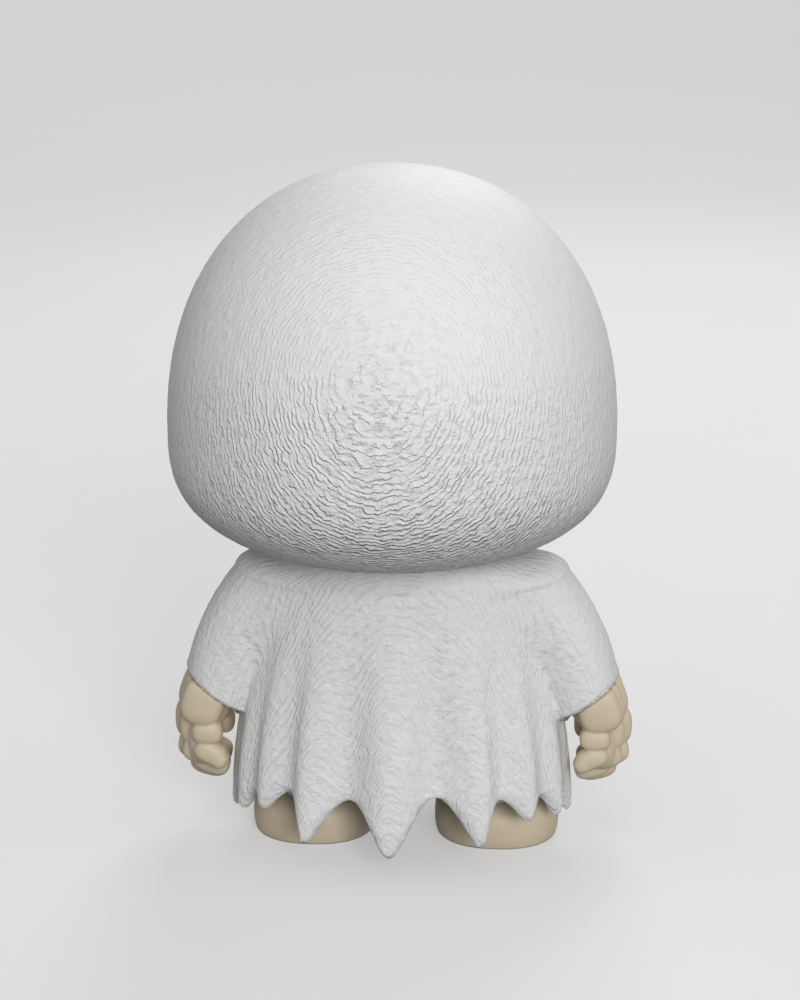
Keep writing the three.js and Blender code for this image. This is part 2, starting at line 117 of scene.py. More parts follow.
def remeshed(piece, cell, smoothing=0):
    """The piece rebuilt in even cells of a size in millimetres, and then smoothed a few times."""
    grid = piece.modifiers.new("even_cells", "REMESH")
    grid.mode = "VOXEL"
    grid.voxel_size = cell * MM
    if smoothing:
        relax = piece.modifiers.new("relaxed", "SMOOTH")
        relax.factor = 0.5
        relax.iterations = smoothing
    return settle(piece)


def carved(piece, cutter, operation="DIFFERENCE"):
    """The piece with a second closed piece cut from it, or joined to it."""
    cut = piece.modifiers.new("cut", "BOOLEAN")
    cut.operation = operation
    cut.solver = "MANIFOLD"
    cut.object = cutter
    settle(piece)
    bpy.data.objects.remove(cutter)
    return piece


def copy_of(node, name):
    """A merged copy of a CAD node's mesh, as a new object."""
    piece = bpy.data.objects.new(name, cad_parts[node].data.copy())
    bpy.context.scene.collection.objects.link(piece)
    cloth = bmesh.new()
    cloth.from_mesh(piece.data)
    bmesh.ops.remove_doubles(cloth, verts=cloth.verts, dist=0.001 * MM)
    cloth.to_mesh(piece.data)
    cloth.free()
    return piece


# %% [markdown]
# ## Noise
# A surface cut by hand is never regular. Gradient noise gives a smooth field of hills and hollows: each
# corner of a lattice has its own slope, worked out from a hash of its number, and a point blends
# the slopes of the eight corners round it. Blender's own noise takes one point at a time, and this
# one takes a whole array.
# %% Noise over arrays


def lattice_slope(corner, seed):
    """A slope for each lattice corner: three numbers from -1 to 1, from a hash of the corner."""
    keys = np.array([374761393, 668265263, 2246822519], dtype=np.uint64)
    mixed = (corner.astype(np.int64).astype(np.uint64) * keys).sum(axis=1) + np.uint64(seed * 97)
    slopes = []
    for turn in (1274126177, 3266489917, 2654435761):
        value = (mixed ^ (mixed >> np.uint64(13))) * np.uint64(turn)
        value ^= value >> np.uint64(16)
        slopes.append((value & np.uint64(0xFFFF)).astype(float) / 32767.5 - 1)
    return np.stack(slopes, axis=1)


def noise(points, length, seed=0):
    """Gradient noise of a wavelength in millimetres: about -1 to 1, and 0 on average."""
    place = points / length + 100.5
    cell = np.floor(place)
    inside = place - cell
    fade = inside**3 * (inside * (inside * 6 - 15) + 10)
    total = np.zeros(len(points))
    for corner in np.ndindex(2, 2, 2):
        offset = np.array(corner)
        slope = lattice_slope(cell + offset, seed)
        weight = np.prod(np.where(offset == 1, fade, 1 - fade), axis=1)
        total += weight * np.sum(slope * (inside - offset), axis=1)
    return total * 1.3


sample = noise(np.random.default_rng(1).uniform(-50, 50, (4000, 3)), 3.0)
print("noise spread", round(float(sample.std()), 3), "limits", sample.min().round(2), sample.max().round(2))

# %% [markdown]
# ## Stepped skin
# Think of the head sliced like a loaf, each slice 0.38 to 1 mm thick and square to a line that
# points out of the back. The edge of each slice shows as a thin wavy ledge, and the ledges run in
# rings round the middle of the back. Modelling each ledge would take millions of faces. So each
# point gets a number that counts the slices between it and the nearest pole, which is where the
# line leaves the form. Noise makes the count uneven, and the shader turns the count into ledges.
# %% Count the steps
thinnest, thickest = 0.38, 1.0
even_depth = 7.0


def unit(vector):
    return np.asarray(vector, dtype=float) / np.linalg.norm(vector)


def smooth_step(value, low, high):
    """A soft change from 0 at low to 1 at high: 3 s^2 - 2 s^3."""
    share = np.clip((value - low) / (high - low), 0, 1)
    return share * share * (3 - 2 * share)


def slice_thickness(depth, growth):
    """The slices are thinnest near the pole, and past the even depth they thicken up to a limit:
    thinnest + growth * (depth - even_depth)."""
    return np.minimum(thinnest + growth * np.maximum(depth - even_depth, 0), thickest)


def step_count(points, depth, growth, wander):
    """Slices from the pole to each point, the sum of step / thickness, plus three noises."""
    depths = np.linspace(0, depth.max(), 2000)
    counts = np.cumsum(np.gradient(depths) / slice_thickness(depths, growth))
    uneven = 0.8 * noise(points, 7.0, 3) + noise(points, 3.1, 4) + 0.6 * noise(points, 1.8, 5)
    return np.interp(depth, depths, counts) + wander * uneven


def stepped_skin(piece, axis, middle, reach, textured, growth, ledge, lumps, wander):
    """Adds the attributes of the stepped skin, and presses shallow lumps into the mesh. A ledge is
    highest where the skin faces along the line of the slices, and lower on the sides of the head:
    height = ledge * (0.15 + 0.85 * |cos(angle)|) * (1 - 0.5 * sideways). The pace is the number of
    slices in a millimetre of skin, sin(angle) / thickness, and never quite nothing."""
    points = points_of(piece)
    normals = normals_of(piece)
    facing = np.abs(normals @ axis)
    along = (points - middle) @ axis
    streaked = points + 1.2 * along[:, None] * axis
    hollow = 0.5 + 0.5 * noise(streaked, 3.2, 7) + 0.25 * noise(streaked, 1.9, 8)
    pressed = lumps * np.clip(hollow, 0, 1.2) * (textured > 0)
    put_points(piece, points - normals * pressed[:, None])
    depth = reach - np.abs(along)
    pace = np.sqrt(np.clip(1 - facing**2, 0, 1)) / slice_thickness(depth, growth)
    sideways = smooth_step(np.abs(normals[:, 0]), 0.35, 0.75) * smooth_step(points[:, 2], 98, 112)
    put_attribute(piece, "steps", step_count(points - middle, depth, growth, wander))
    put_attribute(piece, "pace", pace + 0.15)
    put_attribute(piece, "ledge", ledge * MM * (0.15 + 0.85 * facing) * (1 - 0.5 * sideways))
    put_attribute(piece, "wander", np.full(len(points), wander))
    put_attribute(piece, "skin", textured)
    return pressed


# %% [markdown]
# ## Head
# The head is a dome over a soft jaw. Each is a superellipse, which is an ellipse with its exponent
# raised to make it squarer. A ball with its middle pushed about could pass for it, but the drawing's
# own formula lands every point where the CAD has it. The profile runs from the crown down to the
# neck hole, up through the wall and back over the inside, so the shell is closed.
# %% Head shell
head_half = np.array([57.4, 54.5])
head_shift = 2.5
head_top, head_widest, head_bottom = 179.9, 113.0, 82.0
dome_power, jaw_power = 2.2, 2.83
head_wall = 3
neck_hole = 9.3


def head_profile(offset, turns):
    """Share of the width and height on the profile. A turn of +90 is the crown, and -90 the chin:
    share = cos(t)^(2/p) and rise = sin(t)^(2/p), with one power p for the dome and one for the jaw."""
    turn = np.radians(turns)
    power = 2 / np.where(turns > 0, dome_power, jaw_power)
    reach = np.where(turns > 0, head_top - head_widest, head_widest - head_bottom) + offset
    share = np.maximum(np.cos(turn), 0) ** power
    return share, head_widest + np.sign(turn) * reach * np.abs(np.sin(turn)) ** power


def even_turns(count, offset, low):
    """Turns from the crown down to `low`, at even distances along a profile that is as wide as the
    mean of the head's two half sizes."""
    mean_half = 56
    turns = np.linspace(89.6, low, 6000)
    share, height = head_profile(offset, turns)
    length = np.concatenate([[0], np.cumsum(np.hypot(np.diff(share * mean_half), np.diff(height)))])
    return np.interp(np.linspace(0, length[-1], count), length, turns)


def head_rings(offset, turns, columns):
    """Rings of the head's form, grown by an offset."""
    share, height = head_profile(offset, turns)
    around = np.linspace(0, 2 * np.pi, columns, endpoint=False)
    x = head_shift + (head_half[0] + offset) * share[:, None] * np.cos(around)
    y = (head_half[1] + offset) * share[:, None] * np.sin(around)
    return np.stack([x, y, np.broadcast_to(height[:, None], x.shape)], axis=2)


columns = 468
around = np.linspace(0, 2 * np.pi, columns, endpoint=False)
hole = neck_hole * np.stack([np.cos(around), np.sin(around)], axis=1)


def hole_ring(height):
    return np.concatenate([hole, np.full((columns, 1), height)], axis=1)[None]


outside = head_rings(0, even_turns(194, 0, -85.5), columns)
under = outside[-1:] * 0.5 + hole_ring(head_bottom) * 0.5
inside = head_rings(-head_wall, even_turns(12, -head_wall, -80), columns)[::-1]
hole_rings = [hole_ring(head_bottom), hole_ring(head_bottom + head_wall)]
head = lofted("head_cast", np.concatenate([outside, under, *hole_rings, inside]), facing=-1)
print("head", len(head.data.polygons), "faces")

# %% [markdown]
# The eyes and the mouth are ovals of black plastic, each glued in a shallow pocket. The photograph
# doesn't show them, so they are plain. A pocket is cut with a plug whose inner end follows the
# head's curve.
# %% Face pockets
# Each oval: how far to the figure's left, how high, half its width and half its height.
face_ovals = {
    "eye_left": (18.0, 119.0, 6.5, 9.5),
    "eye_right": (-18.0, 119.0, 6.5, 9.5),
    "mouth": (0.0, 99.0, 4.0, 5.0),
}


def front_of_head(x, z, offset):
    """How far forward the head's form reaches at a place on its front."""
    reach = np.where(z > head_widest, head_top - head_widest, head_widest - head_bottom) + offset
    power = np.where(z > head_widest, dome_power, jaw_power)
    share = np.clip(1 - np.clip(np.abs(z - head_widest) / reach, 0, 1) ** power, 0, 1) ** (1 / power)
    aside = (x - head_shift) / ((head_half[0] + offset) * share)
    return (head_half[1] + offset) * share * np.sqrt(np.clip(1 - aside**2, 0, 1))


def oval_plug(name, oval, grown, back, front, dome=0.0, edge=0.0):
    """A plug on an oval, from one offset of the head's form to another, with a domed front and a
    rounded edge. The front rises by dome * (1 - r^2) and falls by edge * (1 - sqrt(1 - r^16))."""
    out, up, half_width, half_height = oval
    turn = np.linspace(0, 2 * np.pi, 96, endpoint=False)
    reach = np.sin(np.linspace(0.02, 1, 24) * np.pi / 2)

    def cap(offset, swell, fall):
        x = head_shift + out + reach[:, None] * (half_width + grown) * np.cos(turn)
        z = up + reach[:, None] * (half_height + grown) * np.sin(turn)
        proud = swell * (1 - reach**2) - fall * (1 - np.sqrt(1 - reach**16 * 0.9999))
        return np.stack([x, -front_of_head(x, z, offset) - proud[:, None], z], axis=2)

    rings = np.concatenate([cap(front, dome, edge), cap(back, 0, 0)[::-1]])
    return lofted(name, rings)


for oval in face_ovals.values():
    carved(head, oval_plug("cutter", oval, grown=0.3, back=-1.6, front=4.0))
print("head with pockets", len(head.data.polygons), "faces")

# %% [markdown]
# The slices of the head are square to a line that rises 14 degrees towards the back, so the rings
# have their middle a little above the widest line. The cut is deepest under the head and fades
# towards the crown. Only the outside is cut, so a point's distance to the profile says whether it
# lies on the skin.
# %% Head skin
head_axis_rise = np.radians(14)
slice_axis = unit([0, np.cos(head_axis_rise), np.sin(head_axis_rise)])
head_points = points_of(head)
head_middle = np.array([head_shift, 0, 124.0])
share, height = head_profile(0, np.linspace(89.9, -89.9, 4000))
edge = np.interp(head_points[:, 2], height[::-1], share[::-1])
flat = (head_points[:, :2] - [head_shift, 0]) / head_half
inset = (edge - np.hypot(*flat.T)) * 55  # in millimetres: half the head's size is about 55
on_skin = (np.abs(inset) < 0.9) & (head_points[:, 2] > head_bottom + 0.1)
cut_heights = [92, 97, 104, 115, 128, 140]
cut_depths = [2.4, 1.9, 1.3, 1.0, 0.8, 0.35]
textured = np.where(on_skin, np.interp(head_points[:, 2], cut_heights, cut_depths), 0.0)
reach = np.abs((head_points - head_middle) @ slice_axis).max()
pressed = stepped_skin(
    head, slice_axis, head_middle, reach, textured, growth=0.05, ledge=0.42, lumps=0.24, wander=0.7
)
print("head reach", round(float(reach), 2), "pressed in by up to", round(float(pressed.max()), 3), "mm")

# %% [markdown]
# The black ovals themselves use the same plug. It ends flush with the head's form, rises a little
# in the middle and rounds over at its edge. They ride on the head's body, and turn with it.
# %% Eyes and mouth
for node, oval in face_ovals.items():
    gloss = oval_plug(f"{node}_gloss", oval, grown=0.0, back=-1.3, front=0.0, dome=0.45, edge=0.7)
    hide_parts(node)
    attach(gloss, "head")
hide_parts("head_shell")
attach(head, "head")

# %% [markdown]
# ## Robe
# The robe is one casting with its sleeves. Its plan is a superellipse that flares to a ragged hem,
# and a soft fold rises from each point of the hem. Two separate surfaces would meet in a hard line,
# where the real sleeves flow into the robe. So the form is a field instead: a function that is
# negative inside and positive outside. Two fields blend smoothly with a smooth minimum. The CAD
# solid, remeshed in even cells, gives the mesh, and each point then slides along the field's slope
# until the field is zero.
# %% Robe form
# Each row: the direction of a hem point in degrees, the height of its tip, and the height of the
# arch that follows it.
hem_points = np.array([
    [4, 6.5, 16.5], [22, 10, 16.5], [40, 13.5, 20], [60.5, 7.5, 19.6], [88.5, 5.8, 21],
    [117, 7.5, 19.2], [138.5, 12, 17.8], [159, 10, 16.5], [177, 7.3, 17], [198, 11.5, 19],
    [218, 15, 20.5], [238, 15.5, 20.5], [270, 8, 20.5], [302, 15.5, 20.5], [322, 15, 19],
    [343, 11.5, 17],
])
shoulder, hem_level, neck_seat = 74.0, 7.0, 81.7
neck_half, shoulder_half_width, shoulder_half_depth = 16, 34, 20.5
flare_width, flare_depth = 11.2, 10
plan_power = 2.2
hem_thickness = 4.4
fold_share, fold_radius = 0.14, 30.5
hem_radius = 38


def soft_min(a, b, width):
    """The smaller of two fields, blended over a width: min - width/4 * h^2, h = 1 - |a - b|/width."""
    h = np.clip(1 - np.abs(a - b) / width, 0, 1)
    return np.minimum(a, b) - width / 4 * h * h


def soft_max(a, b, width):
    return -soft_min(-a, -b, width)


def hem_at(direction):
    """Height of the hem and size of the fold at each direction in degrees. Between two points the
    hem is arch - (arch - tip) * s^1.9, where s falls from 1 at a tip to 0 in the middle."""
    starts = hem_points[:, 0]
    index = np.searchsorted(starts, direction, side="right") - 1
    after = (index + 1) % len(starts)
    spans = (np.roll(starts, -1) - starts) % 360
    share = ((direction - starts[index]) % 360) / spans[index]
    away = 1 - np.abs(2 * share - 1)
    sharp = 1 - (np.hypot(away, 0.16) - 0.16) / (np.hypot(1, 0.16) - 0.16)
    tip = np.where(share < 0.5, hem_points[index, 1], hem_points[after, 1])
    arch = hem_points[index, 2]
    height = arch - (arch - tip) * np.clip(sharp, 0, 1) ** 1.9
    crest = np.radians(spans + np.roll(spans, 1)) / 2
    near_crest = np.where(share < 0.5, crest[index], crest[after])
    wave = np.cos(2 * np.pi * share)
    width = np.where(wave > 0, wave * near_crest, wave * np.radians(spans[index]))
    return height, width * fold_share * fold_radius


hem_table_directions = np.arange(0, 360.01, 0.05)
hem_table_heights, hem_table_folds = hem_at(hem_table_directions % 360)
print("hem from", hem_table_heights.min().round(1), "to", hem_table_heights.max().round(1), "mm")


def robe_field(points):
    """Distance out from the robe's flank, and the direction of each point round the robe. The
    folds are full at the back and the front, weak at the sides, and fade out up the robe."""
    x, y, z = points.T
    drop = np.clip((shoulder - z) / (shoulder - hem_level), 0, 1)
    rise = np.clip((z - shoulder) / (neck_seat - shoulder), 0, 0.995)
    rounding = np.sqrt(1 - rise**2)
    flared_width = shoulder_half_width + flare_width * np.sin(drop * np.pi / 2)
    half_width = neck_half + (flared_width - neck_half) * rounding
    half_depth = neck_half + (shoulder_half_depth + flare_depth * drop - neck_half) * rounding
    across, along = np.abs(x / half_width), np.abs(y / half_depth)
    size = np.maximum(across**plan_power + along**plan_power, 1e-9) ** (1 / plan_power)
    turn = np.arctan2(np.sign(y) * along ** (plan_power / 2), np.sign(x) * across ** (plan_power / 2))
    direction = np.degrees(turn) % 360
    fold = np.interp(direction, hem_table_directions, hem_table_folds)
    back = np.abs(np.sin(np.radians(direction)))
    fold = fold * (0.3 + 0.7 * back) * (1 - smooth_step(z, hem_level + 15 * back, 62 + 14 * back))
    radius = np.hypot(x, y)
    return radius - radius / size - fold, direction


sleeve_out = (31.5, 42.2, 47.8)
sleeve_up = (73.0, 57.7, 41.6)
top_lean, added_lean = 8, 29
sleeve_radius, sleeve_taper = 12.5, 1.3
mouth_slant, mouth_past = 0.16, 3
cuff = np.array([sleeve_out[2], 0.0, sleeve_up[2]])
cuff_lean = np.radians(top_lean + added_lean)


def sleeve_section(share):
    """Middle, lean and radius of the sleeve at a share s of its length. The middle runs on a
    quadratic curve: (1 - s)^2 * first + 2 s (1 - s) * second + s^2 * third."""
    weights = (1 - share) ** 2, 2 * share * (1 - share), share**2
    out, up = (
        weights[0] * first + weights[1] * second + weights[2] * third
        for first, second, third in (sleeve_out, sleeve_up)
    )
    return out, up, np.radians(top_lean + added_lean * share), sleeve_radius - sleeve_taper * share


def sleeve_field(points):
    """Distance out from the nearer sleeve, its section's share, and how far past that section the
    point lies. The share is found by halving: a point is past a section if it lies below it."""
    x, y, z = np.abs(points[:, 0]), points[:, 1], points[:, 2]
    low, high = np.zeros(len(x)), np.ones(len(x))

    def past(share):
        out, up, lean, _ = sleeve_section(share)
        return (x - out) * np.sin(lean) - (z - up) * np.cos(lean)

    for _ in range(14):
        middle = (low + high) / 2
        beyond = past(middle) > 0
        low, high = np.where(beyond, middle, low), np.where(beyond, high, middle)
    share = np.where(past(np.zeros(1)) < 0, 0, np.where(past(np.ones(1)) > 0, 1, (low + high) / 2))
    out, up, lean, radius = sleeve_section(share)
    beyond = np.where((share == 0) | (share == 1), past(share), 0)
    across = (x - out) * np.cos(lean) + (z - up) * np.sin(lean)
    slanted = beyond + mouth_slant * y
    lip = mouth_past * (1 - np.sqrt(1 - np.clip(slanted / mouth_past, 0, 0.999) ** 2))
    size = np.hypot(across / (radius - lip), y / (sleeve_radius - lip))
    size = np.hypot(size, np.minimum(beyond, 0) / 6)
    side = (size - 1) * 11.5
    return np.where(beyond > 0, np.maximum(side, slanted - mouth_past), side), share, beyond


def hem_slope():
    """How much the hem's rise shortens a distance measured straight up: cos of its slope."""
    step = np.gradient(hem_table_heights, np.radians(hem_table_directions)) / hem_radius
    return 1 / np.sqrt(1 + step**2)


hem_table_slopes = hem_slope()


def outer_field(points):
    """The robe and its sleeves from outside, blended widely at the shoulder and little lower down."""
    robe, direction = robe_field(points)
    sleeve, _, _ = sleeve_field(points)
    width = 1.6 + 6.4 * smooth_step(points[:, 2], 46, 66)
    return soft_min(robe, sleeve, width), direction


def shell_field(points):
    """The outer form, hollowed out below the panel and cut off at the hem with a round edge."""
    outer, direction = outer_field(points)
    robe, _ = robe_field(points)
    height = np.interp(direction, hem_table_directions, hem_table_heights) - 0.5
    slope = np.interp(direction, hem_table_directions, hem_table_slopes)
    below_hem = (height - points[:, 2]) * slope
    low = points[:, 2] < 30
    shell = soft_max(outer, np.where(low, -(robe + hem_thickness), -50.0), 2.0)
    return soft_max(shell, np.where(low, below_hem, -50.0), 2.6)


def slide_to_zero(points, field, rounds=5, limit=0.8):
    """Newton's method: each point moves by -f * slope / |slope|^2, at most a limit each time."""
    for _ in range(rounds):
        value = field(points)
        slope = np.stack(
            [(field(points + step) - value) / 0.02 for step in np.eye(3) * 0.02], axis=1
        )
        move = -value[:, None] * slope / np.maximum((slope**2).sum(axis=1), 0.05)[:, None]
        length = np.linalg.norm(move, axis=1)
        points = points + move * np.minimum(1, limit / np.maximum(length, 1e-9))[:, None]
    return points


def relaxed(piece, points, chosen, rounds):
    """The points with the chosen ones moved halfway to the average of their neighbours, in rounds."""
    ends = np.empty(len(piece.data.edges) * 2, dtype=np.int32)
    piece.data.edges.foreach_get("vertices", ends)
    first, second = ends.reshape(-1, 2).T
    count = np.bincount(ends, minlength=len(points))[:, None]
    for _ in range(rounds):
        total = np.zeros_like(points)
        np.add.at(total, first, points[second])
        np.add.at(total, second, points[first])
        points = np.where(chosen[:, None], (points + total / count) / 2, points)
    return points


# %% [markdown]
# Only the outside slides. A point belongs to it if its normal points the way the field grows. The
# seat of the neck keeps the CAD's own form, and the recess of each wrist only shifts along the
# sleeve, to follow the slant of its mouth. The hem's points use the field of the whole shell, which
# has an inside too, and are then evened out between neighbours.
# %% Robe mesh
robe = remeshed(copy_of("robe_shell", "robe_cast"), 0.72, smoothing=3)
start = points_of(robe)
_, share, beyond = sleeve_field(start)
hem_zone = 21
recess_radius, seat_radius, seat_height = 7.6, 17.5, 78.5


def hard_field(points):
    """The robe and its sleeves without a blend between them."""
    return np.minimum(robe_field(points)[0], sleeve_field(points)[0])


outer = hard_field(start)
slope = np.stack([hard_field(start + step) - outer for step in np.eye(3) * 0.05], axis=1)
faces_out = np.sum(slope * normals_of(robe), axis=1) > 0
from_cuff = (np.abs(start[:, 0]) - cuff[0]) * np.cos(cuff_lean) + (start[:, 2] - cuff[2]) * np.sin(cuff_lean)
in_wrist = (share == 1) & (beyond > 0.8) & (np.hypot(from_cuff, start[:, 1]) < recess_radius)
on_top = (start[:, 2] > seat_height) & (np.hypot(start[:, 0], start[:, 1]) < seat_radius)
on_flank = faces_out & (outer > -2.5) & (start[:, 2] > hem_zone) & ~in_wrist & ~on_top
on_hem = start[:, 2] <= hem_zone
placed = start.copy()
placed[on_flank] = slide_to_zero(start[on_flank], lambda points: outer_field(points)[0])
placed[on_hem] = slide_to_zero(start[on_hem], shell_field)
placed = relaxed(robe, placed, on_hem, rounds=3)
down_sleeve = np.zeros_like(start)
down_sleeve[:, 0] = np.sign(start[:, 0]) * np.sin(cuff_lean)
down_sleeve[:, 2] = -np.cos(cuff_lean)
slant = -mouth_slant * start[:, 1] * smooth_step(beyond, 0.8, 3.0)
placed[in_wrist] += (down_sleeve * slant[:, None])[in_wrist]
moved = np.linalg.norm(placed - start, axis=1)
put_points(robe, placed)
print("robe", len(robe.data.polygons), "faces; points slid by up to", moved.max().round(2), "mm")

# %% [markdown]
# The robe's steps are square to a line that falls 2 degrees towards the back. They are lower than
# the head's, and lower still on the sleeves.
# %% Robe skin
robe_axis_fall = np.radians(2)
robe_axis = unit([0, np.cos(robe_axis_fall), -np.sin(robe_axis_fall)])
robe_middle = np.array([0, 0, 40.0])
robe_reach, robe_growth = 36.0, 0.015
textured = np.where(on_flank | on_hem, 1.0, 0.0)
on_sleeve = smooth_step(robe_field(placed)[0] - sleeve_field(placed)[0], -1.0, 4.0)
ledge = 0.16 * (1 - 0.6 * on_sleeve)
stepped_skin(
    robe, robe_axis, robe_middle, robe_reach, textured, robe_growth, ledge, lumps=0.2, wander=0.2
)
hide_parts("robe_shell")
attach(robe, "robe")

# %% [markdown]
# ## Underside panel
# A panel closes the robe below, with a soft lobe round the top of each foot. It has the same white
# skin. The lobes are simple, so the CAD solid is remeshed and relaxed until its facets are gone.
# %% Panel
panel = remeshed(copy_of("underside_panel", "panel_cast"), 0.6, smoothing=8)
everywhere = np.ones(len(panel.data.vertices))
stepped_skin(
    panel, robe_axis, robe_middle, robe_reach, everywhere, robe_growth, ledge=0.15, lumps=0.1, wander=0.2
)
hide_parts("underside_panel")
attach(panel, "robe")
print("panel", len(panel.data.polygons), "faces")

# %% [markdown]
# ## Fists
# A closed hand is a palm with four fingers curled under it and a thumb across. Each part is a pad:
# a ball stretched to its half sizes and made a little squarer. A sculptor would join clay pads in
# the same way and rub over the joins, which leaves soft creases between the fingers. Here the pads
# are remeshed into one skin and relaxed.
# %% Pads of the hand
# Each pad of a finger, from the cuff to the tip: how far out and how far down from the cuff its
# middle lies, its half sizes out and down, and its curl in degrees.
fingers = {
    "little": [
        (4.3, 2.8, 5.6, 6.6, 16), (3.4, 11.3, 4.1, 3.2, 0),
        (2.7, 17.0, 4.4, 3.0, 25), (0.7, 18.6, 2.9, 2.4, 35),
    ],
    "ring": [
        (5.2, 3.2, 5.6, 7.2, 18), (6.6, 11.9, 4.8, 4.8, 0),
        (6.2, 18.4, 4.6, 3.7, 12), (3.0, 21.9, 4.9, 3.0, 20),
    ],
    "middle": [
        (5.8, 3.0, 5.8, 7.4, 20), (8.0, 11.6, 5.4, 6.0, 0),
        (7.6, 19.2, 5.2, 4.1, 12), (4.2, 23.9, 5.4, 3.9, 15),
    ],
    "index": [
        (5.4, 2.8, 5.6, 7.0, 18), (7.4, 11.2, 5.2, 5.6, 0),
        (7.0, 18.4, 4.9, 3.9, 12), (4.0, 22.6, 5.2, 3.6, 15),
    ],
}
little_finger, finger_pitch = 7.2, 5.1
first_half, finger_half = 3.6, 2.95
palm = [(4.4, -0.4, 4.0, 6.0, 9.0, 7.0, 14), (5.0, -0.4, 14.5, 4.4, 8.0, 8.0, 0)]
thumb = [(2.7, -7.5, 7.6, 4.6, 4.2, 5.6, 0), (1.3, -9, 14, 3.2, 3.2, 4.1, 0)]
pads = palm + thumb
for place, parts in enumerate(fingers.values()):
    for part, (out, down, half_out, half_down, curl) in enumerate(parts):
        back = little_finger - finger_pitch * place
        half_back = finger_half if part else first_half
        pads.append((out, back, down, half_out, half_back, half_down, curl))


def pad_rings(pad, power=2.8):
    """A pad's rings: a direction d on the ball, scaled by |d|^-1 in the power norm, then leaned
    towards the robe by the angle of its curl."""
    out, back, down, half_out, half_back, half_down, curl = pad
    tilt = np.linspace(-0.49, 0.49, 22)[:, None] * np.pi
    turn = np.linspace(0, 2 * np.pi, 40, endpoint=False)
    x, y = np.cos(tilt) * np.cos(turn), np.cos(tilt) * np.sin(turn)
    ball = np.stack([x, y, np.broadcast_to(np.sin(tilt), x.shape)], axis=2)
    size = (np.abs(ball) ** power).sum(axis=2, keepdims=True) ** (1 / power)
    x, y, z = np.moveaxis(ball / size * [half_out, half_back, half_down], 2, 0)
    lean = np.radians(curl)
    x, z = x * np.cos(lean) - z * np.sin(lean), x * np.sin(lean) + z * np.cos(lean)
    return cuff + [out, back, -down] + np.stack([x, y, z], axis=2)


def joined_pieces(name, pieces):
    """One object that holds the meshes of several."""
    clay = bmesh.new()
    for piece in pieces:
        clay.from_mesh(piece.data)
        bpy.data.objects.remove(piece)
    mesh = bpy.data.meshes.new(name)
    clay.to_mesh(mesh)
    clay.free()
    joined = bpy.data.objects.new(name, mesh)
    bpy.context.scene.collection.objects.link(joined)
    return joined


def wrist_bar(name, radius, start, end, slant=0.0):
    """A round bar on the wrist's axis, between two distances past the cuff's mouth. With a slant,
    its ends are higher at the back, as the mouth's rim is."""
    turn = np.linspace(0, 2 * np.pi, 64, endpoint=False)
    across, back = radius * np.cos(turn), radius * np.sin(turn)
    past = np.array([start, end])[:, None] + mouth_past - slant * back
    x = cuff[0] + across * np.cos(cuff_lean) + past * np.sin(cuff_lean)
    z = cuff[2] + across * np.sin(cuff_lean) - past * np.cos(cuff_lean)
    return lofted(name, np.stack([x, np.broadcast_to(back, x.shape), z], axis=2), facing=-1)


def fist(name, length):
    """A hand of pads, scaled by a length in the direction down the hand. It is cut off just past
    the sleeve's mouth, gets a neck that reaches into the sleeve's recess, and a bore for the peg."""
    stretch = np.array([1, 1, length, 1, 1, length, 1])
    clay = [lofted("pad", pad_rings(pad * stretch)) for pad in pads]
    hand = remeshed(joined_pieces(name, clay), 0.36, smoothing=5)
    carved(hand, wrist_bar("cutter", 22.4, -22.4, 0.25, mouth_slant))
    carved(hand, wrist_bar("neck", 6.4, -1.3, 7.0), "UNION")
    carved(hand, wrist_bar("cutter", 2.7, -2.6, 7.3))
    hand.data.shade_smooth()
    return hand


def mirrored(piece, name):
    """The same piece on the other side, with its faces turned out again."""
    twin = bpy.data.objects.new(name, piece.data.copy())
    bpy.context.scene.collection.objects.link(twin)
    twin.data.transform(((-1, 0, 0, 0), (0, 1, 0, 0), (0, 0, 1, 0), (0, 0, 0, 1)))
    twin.data.flip_normals()
    return twin


left_fist = fist("fist_left_cast", 1.02)
model = fist("fist_model", 0.96)
fists = {"fist_left": left_fist, "fist_right": mirrored(model, "fist_right_cast")}
bpy.data.objects.remove(model)
for node, piece in fists.items():
    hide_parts(node)
    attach(piece, node)
print("fist", len(left_fist.data.polygons), "faces")

# %% [markdown]
# ## Feet
# A foot is a rounded block with a flat sole and a flat top, wider low down and longer in front. Rings
# of one superellipse, stacked from the sole up, give its soft edges. A square hole takes the peg.
# %% Foot rings
foot_out, foot_shift, foot_middle = 24.6, 0.9, -4
foot_half_width, heel_reach, toe_reach = 16.7, 16, 30
sole_rise, wall_rise = 3.5, 8.5
wall_power, outline_power = 3.4, 2.3
hole_out, hole_middle, hole_half = 22.5, -3, 4.3
hole_heights = (4.7, 13.0)


def foot_rings(side):
    """Rings from the sole to the top. Above the widest line the share is cos(t)^(2/p) at the height
    sin(t)^(2/p), with p the wall's power, so the wall is upright and its top edge rounds over."""
    steps = np.linspace(1, 0, 7)[:-1]
    sole_share = 1 - 0.03 * steps**2
    turn = np.radians(np.linspace(0, 86, 34))
    share = np.concatenate([[0.45, 0.9], sole_share, np.cos(turn) ** (2 / wall_power)])
    wall_height = sole_rise + wall_rise * np.sin(turn) ** (2 / wall_power)
    height = np.concatenate([[0, 0], sole_rise * (1 - steps), wall_height])
    around = np.linspace(0, 2 * np.pi, 128, endpoint=False)
    c, s = np.cos(around), np.sin(around)
    plan_x = foot_half_width * np.sign(c) * np.abs(c) ** (2 / outline_power)
    plan_y = np.where(s > 0, heel_reach, toe_reach) * np.sign(s) * np.abs(s) ** (2 / outline_power)
    x = side * foot_out - foot_shift + share[:, None] * plan_x
    y = foot_middle + share[:, None] * plan_y
    return np.stack([x, y, np.broadcast_to(height[:, None], x.shape)], axis=2)


